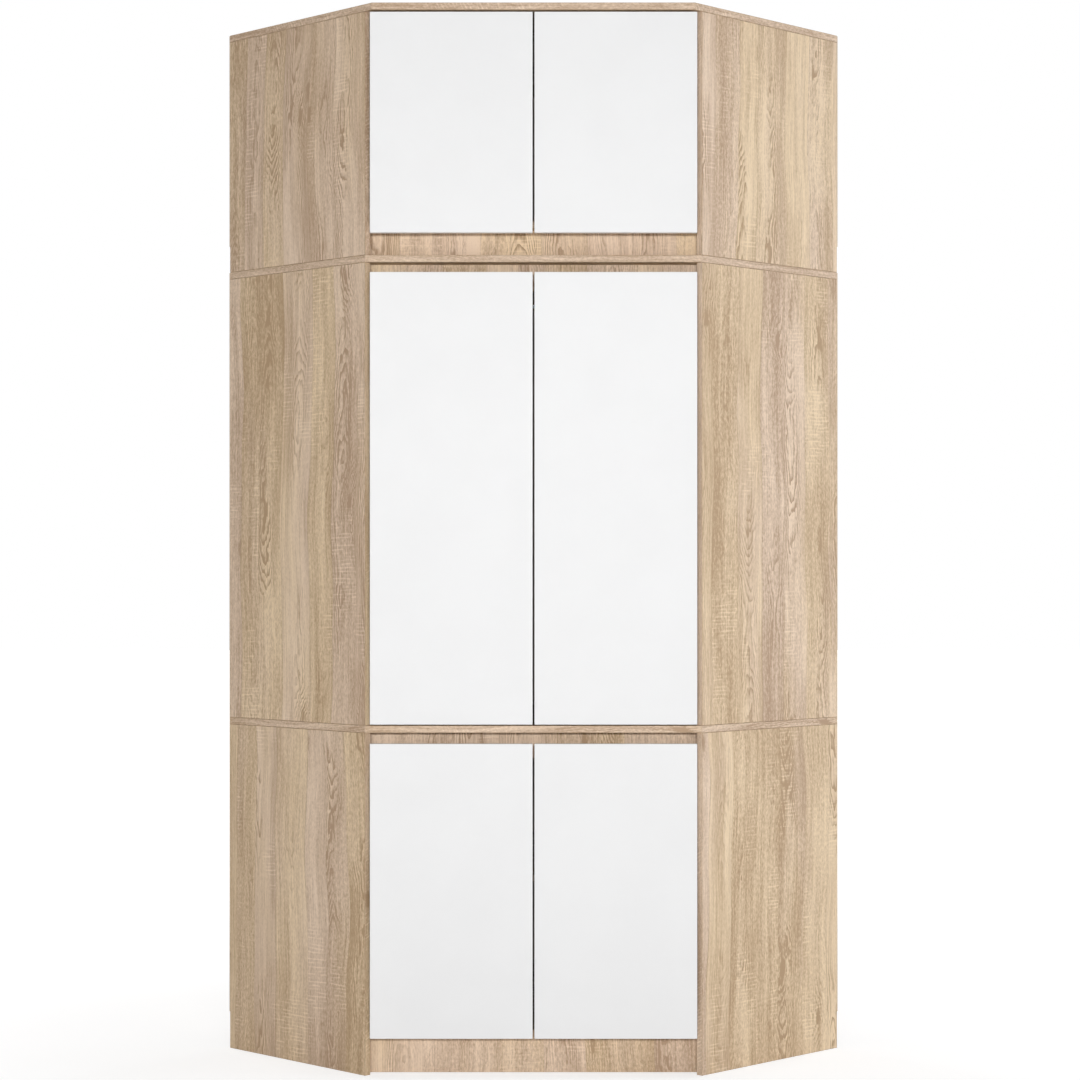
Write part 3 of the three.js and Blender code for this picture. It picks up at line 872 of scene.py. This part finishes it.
def nail_spots(node, spacing):
    """Places of the nails along a back's lower and upper edge and up its outer edge."""
    low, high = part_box(node)
    lowest = low.z + NAIL_INSET
    highest = high.z - NAIL_INSET
    run = WALL_RUN - 2 * NAIL_INSET
    steps = math.ceil(run / spacing)
    spots = [(NAIL_INSET + run * (step + 0.5) / steps, z) for z in (lowest, highest) for step in range(steps)]
    steps = math.ceil((highest - lowest) / spacing)
    spots += [(run, lowest + (highest - lowest) * step / steps) for step in range(steps + 1)]
    reaches = [(along / math.sqrt(2), z) for along, z in spots]
    return [Vector((side_of(node) * reach, REAR_Y - reach, z)) for reach, z in reaches]


class WARDROBE_OT_backs(bpy.types.Operator):
    """Give the backs a bare outside and a pale inside, and nail them to the boards"""

    bl_idname = "wardrobe.backs"
    bl_label = "Backs"

    def execute(self, context):
        sizes = context.scene.wardrobe_sizes
        nails = bmesh.new()
        for node in owners("_back"):
            shape = merged_copy(node)
            round_edges(shape, sharp_edges(shape.edges), sizes.sheet_round)
            shape.normal_update()
            for face in shape.faces:
                face.material_index = OUTSIDE if face.normal.y > 0 else INSIDE
            finishes = ["hardboard_outside", "hardboard_inside"]
            finish_piece(f"{node}_sheet", shape, finishes, CARCASS, [node], smooth=False)
            outwards = Vector((side_of(node), 1, 0)).normalized()
            for spot in nail_spots(node, sizes.nail_spacing):
                add_bar(nails, spot, outwards, sizes.nail_radius, NAIL_HEIGHT, NAIL_STEPS)
        finish_piece("back_nails", nails, ["nickel_plate"], CARCASS)
        return {"FINISHED"}


class WARDROBE_OT_hanging_rail(bpy.types.Operator):
    """Hang a chromed tube with end caps in two screwed brackets"""

    bl_idname = "wardrobe.hanging_rail"
    bl_label = "Hanging rail"

    def execute(self, context):
        sizes = context.scene.wardrobe_sizes
        steps = sizes.round_steps
        low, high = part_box("hanging_rail")
        middle = (low + high) / 2
        radius = (high.z - low.z) / 2
        half = (high.x - low.x) / 2
        bore = radius - TUBE_WALL
        tube = bmesh.new()
        lying = Matrix.Translation(middle) @ turn_to(SIDEWAYS)
        add_lathed(tube, lying, tube_wall(bore, radius, half, RAIL_ROUND), steps)
        finish_piece("hanging_rail_tube", tube, ["chrome_plate"], CARCASS, ["hanging_rail"])

        caps = bmesh.new()
        plug = [(0, -PLUG_DEPTH), (bore - PLUG_TAPER, -PLUG_DEPTH), (bore - PLUG_PLAY, -PLUG_NECK)]
        plug += [(radius, END_CAP_SEAT), (radius, END_CAP_SIDE)]
        plug += [(radius - END_CAP_CHAMFER, END_CAP_SHOULDER), (0, END_CAP_CROWN)]
        for side in HANDS.values():
            end = middle + SIDEWAYS * side * half
            add_lathed(caps, Matrix.Translation(end) @ turn_to(SIDEWAYS * side), plug, steps)
        finish_piece("hanging_rail_caps", caps, ["cap_plastic"], CARCASS)
        for hand in HANDS:
            self.bracket(f"rail_bracket_{hand}", middle, radius, sizes)
        return {"FINISHED"}

    def bracket(self, node, middle, radius, sizes):
        """Stands a ring with a stem and a screwed foot in a CAD bracket's place."""
        low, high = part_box(node)
        half_width = (high.x - low.x) / 2
        foot_half = (high.y - low.y) / 2
        foot_base = high.z - FOOT_THICK
        hub = Vector(((low.x + high.x) / 2, middle.y, middle.z))
        shape = bmesh.new()
        ring = tube_wall(radius + RING_PLAY, radius + RING_OUTER, half_width, RAIL_ROUND)
        add_lathed(shape, Matrix.Translation(hub) @ turn_to(SIDEWAYS), ring, sizes.round_steps)
        stem_low = Vector((low.x + RAIL_ROUND, hub.y - STEM_HALF, hub.z + radius + STEM_SINK))
        stem_high = Vector((high.x - RAIL_ROUND, hub.y + STEM_HALF, foot_base + STEM_SINK))
        add_block(shape, Matrix.Identity(4), stem_low, stem_high, sizes.metal_round)
        foot = rounded_bar(foot_half - half_width, half_width, FOOT_STEPS)
        add_slab(shape, Matrix.Translation((hub.x, hub.y, 0)), foot, foot_base, high.z, sizes.metal_round)
        reach = foot_half - half_width * FOOT_SCREW_SHARE
        for way in (-1, 1):
            add_screw(shape, Vector((hub.x, hub.y + way * reach, foot_base)), -UP, sizes.screw_radius)
        finish_piece(f"{node}_cast", shape, ["chrome_plate"], CARCASS, [node])


def hinge_place(node):
    """The hinge's place: u, v and z from its pivot, mirrored for a left door."""
    joint = next(joint for joint in frame["joints"] if node.startswith(joint["name"]))
    pivot = Vector(joint["pos_m"])
    pivot.z = centre_of(node).z
    return Matrix.Translation(pivot) @ Matrix.Diagonal((side_of(node), 1, 1, 1))


class WARDROBE_OT_hinge_cups(bpy.types.Operator):
    """Press a hinge cup with its pin and two screws into each bore"""

    bl_idname = "wardrobe.hinge_cups"
    bl_label = "Hinge cups"

    def execute(self, context):
        sizes = context.scene.wardrobe_sizes
        inner = CUP_RADIUS - CUP_WALL
        floor = CUP_WALL - CUP_SINK
        rim = CUP_TOP - FLANGE_ROUND
        shell = [(0, -CUP_SINK), (CUP_RADIUS - CUP_TURN, -CUP_SINK), (CUP_RADIUS, CUP_TURN - CUP_SINK)]
        shell += [(CUP_RADIUS, FLANGE_BASE), (FLANGE_RADIUS, FLANGE_BASE), (FLANGE_RADIUS, rim)]
        shell += [(FLANGE_RADIUS - FLANGE_ROUND, CUP_TOP), (inner + FLANGE_ROUND, CUP_TOP), (inner, rim)]
        shell += [(inner, floor + CUP_TURN), (inner - CUP_TURN, floor), (0, floor)]
        root = inner + EAR_ROOT
        tip = [(x, y) for x, y in rounded_bar(EAR_REACH, EAR_RADIUS, SMALL_STEPS) if y > 0]
        ear = [(EAR_RADIUS, root), *tip, (-EAR_RADIUS, root)]
        ear_top = CUP_TOP - EAR_DROP
        for node, body in owners("_hinge_cup").items():
            middle = centre_of(node)
            middle.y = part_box(node)[1].y - CUP_TOP
            facing = Matrix.Translation(middle) @ turn_to(BACKWARDS)
            cup = bmesh.new()
            add_lathed(cup, facing, shell, sizes.round_steps)
            for way in (-1, 1):
                lug = [(x, way * y) for x, y in ear]
                add_slab(cup, facing, lug, FLANGE_BASE + EAR_LIFT, ear_top, sizes.metal_round)
                spot = middle + UP * way * EAR_REACH + BACKWARDS * ear_top
                add_screw(cup, spot, BACKWARDS, sizes.screw_radius)
            pivot = hinge_place(node).to_translation()
            add_bar(cup, pivot, UP, PIN_RADIUS, 2 * PIN_HALF, SMALL_STEPS)
            finish_piece(f"{node}_pressed", cup, ["nickel_plate"], body, [node])
        return {"FINISHED"}


def elbow(radius):
    """A quarter circle where the hook turns from the cup's floor back past the door's edge."""
    turn_u = ELBOW_RADIUS - LEG_INNER
    turn_v = HOOK_THICK + ELBOW_RADIUS - EYE_RADIUS
    bends = [math.pi * (1.5 - 0.5 * step / BEND_STEPS) for step in range(BEND_STEPS + 1)]
    return [(turn_u + radius * math.cos(bend), turn_v + radius * math.sin(bend)) for bend in bends]


class WARDROBE_OT_hinge_arms(bpy.types.Operator):
    """Clamp an angled hinge arm on its mounting plate at each hinge"""

    bl_idname = "wardrobe.hinge_arms"
    bl_label = "Hinge arms"

    def execute(self, context):
        sizes = context.scene.wardrobe_sizes
        soft = sizes.metal_round
        arm_outer = ARM_UNDER + ARM_SHEET
        plate_top = PLATE_LIFT + PLATE_THICK

        # Outlines of hook and eye in u and v, and of the cheeks in s and t
        leg_top = PANEL_EDGE_V + (ARM_NECK + arm_outer) / math.sqrt(2)
        grip = -EYE_BORE * EYE_GRIP_SHARE
        hook = [(grip, -EYE_RADIUS), *elbow(ELBOW_RADIUS + HOOK_THICK), (-LEG_INNER - HOOK_THICK, leg_top)]
        hook += [(-LEG_INNER, leg_top), *reversed(elbow(ELBOW_RADIUS)), (grip, HOOK_THICK - EYE_RADIUS)]
        eye = [(EYE_BORE, -HOOK_HALF), (EYE_RADIUS, -HOOK_HALF)]
        eye += [(EYE_RADIUS, HOOK_HALF), (EYE_BORE, HOOK_HALF)]
        cheek_top = ARM_UNDER + ARM_SHEET / 2
        cheek_tail = ARM_TAIL - CHEEK_TRIM
        cheek_turn = CHEEK_LEAD + ARM_UNDER - CHEEK_LIFT
        cheek = [(CHEEK_LEAD, cheek_top), (CHEEK_LEAD, ARM_UNDER), (cheek_turn, CHEEK_LIFT)]
        cheek += [(cheek_tail, CHEEK_LIFT), (cheek_tail, cheek_top)]

        # Corners and screw places in s, t and z, and the wings' outline
        web_low = Vector((ARM_NECK, ARM_UNDER, -ARM_HALF))
        web_high = Vector((ARM_TAIL, arm_outer, ARM_HALF))
        saddle_low = Vector((PLATE_S - SADDLE_HALF_LENGTH, PLATE_LIFT, -SADDLE_HALF))
        saddle_high = Vector((PLATE_S + SADDLE_HALF_LENGTH, SADDLE_TOP, SADDLE_HALF))
        plate_screws = [Vector((PLATE_S, plate_top, z)) for z in (WING_REACH, -WING_REACH)]
        arm_screws = [Vector((s, arm_outer, 0)) for s in (CLAMP_SCREW_S, SIDE_SCREW_S)]
        shank = arm_outer - SADDLE_TOP
        wings = rounded_bar(WING_REACH, WING_RADIUS, SMALL_STEPS)
        on_panel = Matrix.Translation((PANEL_EDGE_U, PANEL_EDGE_V, 0)) @ Matrix.Rotation(math.pi / 4, 4, "Z")
        lying = Matrix(((1, 0, 0, PLATE_S), (0, 0, 1, 0), (0, 1, 0, 0), (0, 0, 0, 1)))

        for node, body in owners("_hinge_arm").items():
            place = hinge_place(node)
            seat = place @ on_panel
            off_panel = (seat.to_3x3() @ BACKWARDS).normalized()
            arm = bmesh.new()
            add_slab(arm, place, hook, -HOOK_HALF, HOOK_HALF, soft)
            add_lathed(arm, place, eye, FINE_STEPS)
            add_block(arm, seat, web_low, web_high, ARM_ROUND)
            for way in (-1, 1):
                walls = way * (ARM_HALF - CHEEK_INSET), way * (ARM_HALF - CHEEK_THICK)
                add_slab(arm, seat, cheek, min(walls), max(walls), soft)
            add_slab(arm, seat @ lying, wings, PLATE_LIFT, plate_top, soft)
            add_block(arm, seat, saddle_low, saddle_high, soft)
            for spot in plate_screws + arm_screws:
                add_screw(arm, seat @ spot, off_panel, sizes.screw_radius)
            for spot in arm_screws:
                middle = seat @ spot - off_panel * shank / 2
                add_bar(arm, middle, off_panel, sizes.screw_radius * SHANK_SHARE, shank, SMALL_STEPS)
            bmesh.ops.recalc_face_normals(arm, faces=arm.faces)
            finish_piece(f"{node}_pressed", arm, ["nickel_plate"], body, [node])
        return {"FINISHED"}


class WARDROBE_OT_fittings(bpy.types.Operator):
    """Add shelf pins and the caps over the cam fittings"""

    bl_idname = "wardrobe.fittings"
    bl_label = "Small fittings"

    def execute(self, context):
        cap_radius = context.scene.wardrobe_sizes.cap_radius
        pins = bmesh.new()
        caps = bmesh.new()
        dome = [(cap_radius * share, height) for share, height in CAP_DOME_SHARES]
        panel_low, panel_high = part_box("middle_right_side")
        run = (panel_high.x - panel_low.x) * math.sqrt(2)
        pin_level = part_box("lower_shelf")[0].z - SHELF_PIN_RADIUS
        for hand, side in HANDS.items():
            inwards = Vector((-side, 1, 0)).normalized()
            back = Vector((side, 1, 0)).normalized()
            start = Vector((side * INNER_EDGE_HALF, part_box("bottom_board")[0].y, 0))
            for share in SHELF_PIN_SHARES:
                spot = start + back * run * share + UP * pin_level
                for radius, reach, soften in SHELF_PIN_PARTS:
                    add_bar(pins, spot + inwards * reach / 2, inwards, radius, reach, SMALL_STEPS, soften)
            for storey in STOREYS:
                low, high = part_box(f"{storey}_{hand}_side")
                for level in (low.z + CAP_LEVEL, high.z - CAP_LEVEL):
                    for share in CAP_SHARES:
                        spot = start + back * run * share + UP * level
                        add_lathed(caps, Matrix.Translation(spot) @ turn_to(inwards), dome, FINE_STEPS)
        finish_piece("shelf_pins", pins, ["nickel_plate"], CARCASS)
        finish_piece("fitting_caps", caps, ["cap_plastic"], CARCASS)
        return {"FINISHED"}


# Stage


def floor_paint():
    """White paint that keeps a soft shadow and fades into the white background."""
    paint = bpy.data.materials.new("floor_paint")
    nodes = Shading(paint)
    nodes.finish(Base_Color=FLOOR_WHITE, Roughness=1.0, Specular_IOR_Level=0.0)
    reach = nodes.node("ShaderNodeVectorMath", {0: nodes.place()}, operation="LENGTH").outputs["Value"]
    share = nodes.times(nodes.step(reach, FADE_START, FADE_END, FADE_SHARE), nodes.seen())
    glow = nodes.node("ShaderNodeEmission", {"Strength": FLOOR_GLOW}).outputs[0]
    both = nodes.node("ShaderNodeMixShader", {0: share, 1: nodes.shader.outputs[0], 2: glow})
    nodes.feed(nodes.tree.nodes["Material Output"].inputs["Surface"], both.outputs[0])
    return paint


def add_lamp(name, spot, size, tint, energy):
    """Adds a soft light of a width and height that faces the middle of the wardrobe."""
    light = bpy.data.lights.new(name, "AREA")
    light.shape = "RECTANGLE"
    light.size, light.size_y = size
    light.energy = energy
    light.color = tint
    holder = bpy.data.objects.new(name, light)
    holder.location = spot
    aim = Vector((0, 0, (cad_low.z + cad_high.z) / 2)) - Vector(spot)
    holder.rotation_euler = aim.to_track_quat("-Z", "Y").to_euler()
    holder.visible_camera = False
    bpy.context.scene.collection.objects.link(holder)


class WARDROBE_OT_stage(bpy.types.Operator):
    """Set up the pale floor, the soft light and the camera"""

    bl_idname = "wardrobe.stage"
    bl_label = "Stage"

    def execute(self, context):
        scene = context.scene
        stage = scene.wardrobe_stage
        scene.view_settings.view_transform = "Standard"

        shape = bmesh.new()
        bmesh.ops.create_grid(shape, x_segments=1, y_segments=1, size=FLOOR_HALF)
        mesh = bpy.data.meshes.new("floor")
        shape.to_mesh(mesh)
        shape.free()
        mesh.materials.append(floor_paint())
        floor = bpy.data.objects.new("floor", mesh)
        scene.collection.objects.link(floor)

        scene.world = bpy.data.worlds.new("studio")
        nodes = Shading(scene.world, "Background")
        strength = nodes.node("ShaderNodeMapRange", {"Value": nodes.seen(), "To Min": stage.sky})
        nodes.finish(Color=WHITE_LIGHT, Strength=strength.outputs[0])
        for name, spot, size, tint, setting in LAMPS:
            add_lamp(name, spot, size, tint, getattr(stage, setting))

        camera = bpy.data.cameras.new("camera")
        camera.lens = stage.lens
        camera.shift_x = stage.shift_x
        camera.shift_y = stage.shift_y
        viewer = bpy.data.objects.new("camera", camera)
        viewer.location = (0, FRONT_Y - stage.camera_distance, stage.camera_height)
        viewer.rotation_euler = (math.pi / 2, 0, 0)
        scene.collection.objects.link(viewer)
        scene.camera = viewer
        return {"FINISHED"}


class WARDROBE_PT_panel(bpy.types.Panel):
    """Lists the wardrobe's steps"""

    bl_idname = "WARDROBE_PT_panel"
    bl_label = "Corner Wardrobe"
    bl_space_type = "VIEW_3D"
    bl_region_type = "UI"
    bl_category = "Wardrobe"

    def draw(self, context):
        for step in STEPS:
            self.layout.operator(step.bl_idname)
        for key in GROUPS:
            group = getattr(context.scene, key)
            for name in group.__annotations__:
                self.layout.prop(group, name)


STEPS = (
    WARDROBE_OT_boards,
    WARDROBE_OT_doors,
    WARDROBE_OT_backs,
    WARDROBE_OT_hanging_rail,
    WARDROBE_OT_hinge_cups,
    WARDROBE_OT_hinge_arms,
    WARDROBE_OT_fittings,
    WARDROBE_OT_stage,
)
GROUPS = {
    "wardrobe_sizes": WardrobeSizes,
    "wardrobe_colours": WardrobeColours,
    "wardrobe_stage": WardrobeStage,
}


def register():
    """Registers the classes and hangs the settings on the scene."""
    for item in (*GROUPS.values(), *STEPS, WARDROBE_PT_panel):
        bpy.utils.register_class(item)
    for name, group in GROUPS.items():
        setattr(bpy.types.Scene, name, PointerProperty(type=group))


def unregister():
    """Takes the settings and the classes away again."""
    for name in GROUPS:
        delattr(bpy.types.Scene, name)
    for item in (WARDROBE_PT_panel, *reversed(STEPS), *reversed(GROUPS.values())):
        bpy.utils.unregister_class(item)


def main():
    """Runs every step."""
    register()
    bpy.ops.wardrobe.boards()
    bpy.ops.wardrobe.doors()
    bpy.ops.wardrobe.backs()
    bpy.ops.wardrobe.hanging_rail()
    bpy.ops.wardrobe.hinge_cups()
    bpy.ops.wardrobe.hinge_arms()
    bpy.ops.wardrobe.fittings()
    bpy.ops.wardrobe.stage()


if __name__ == "__main__":
    main()
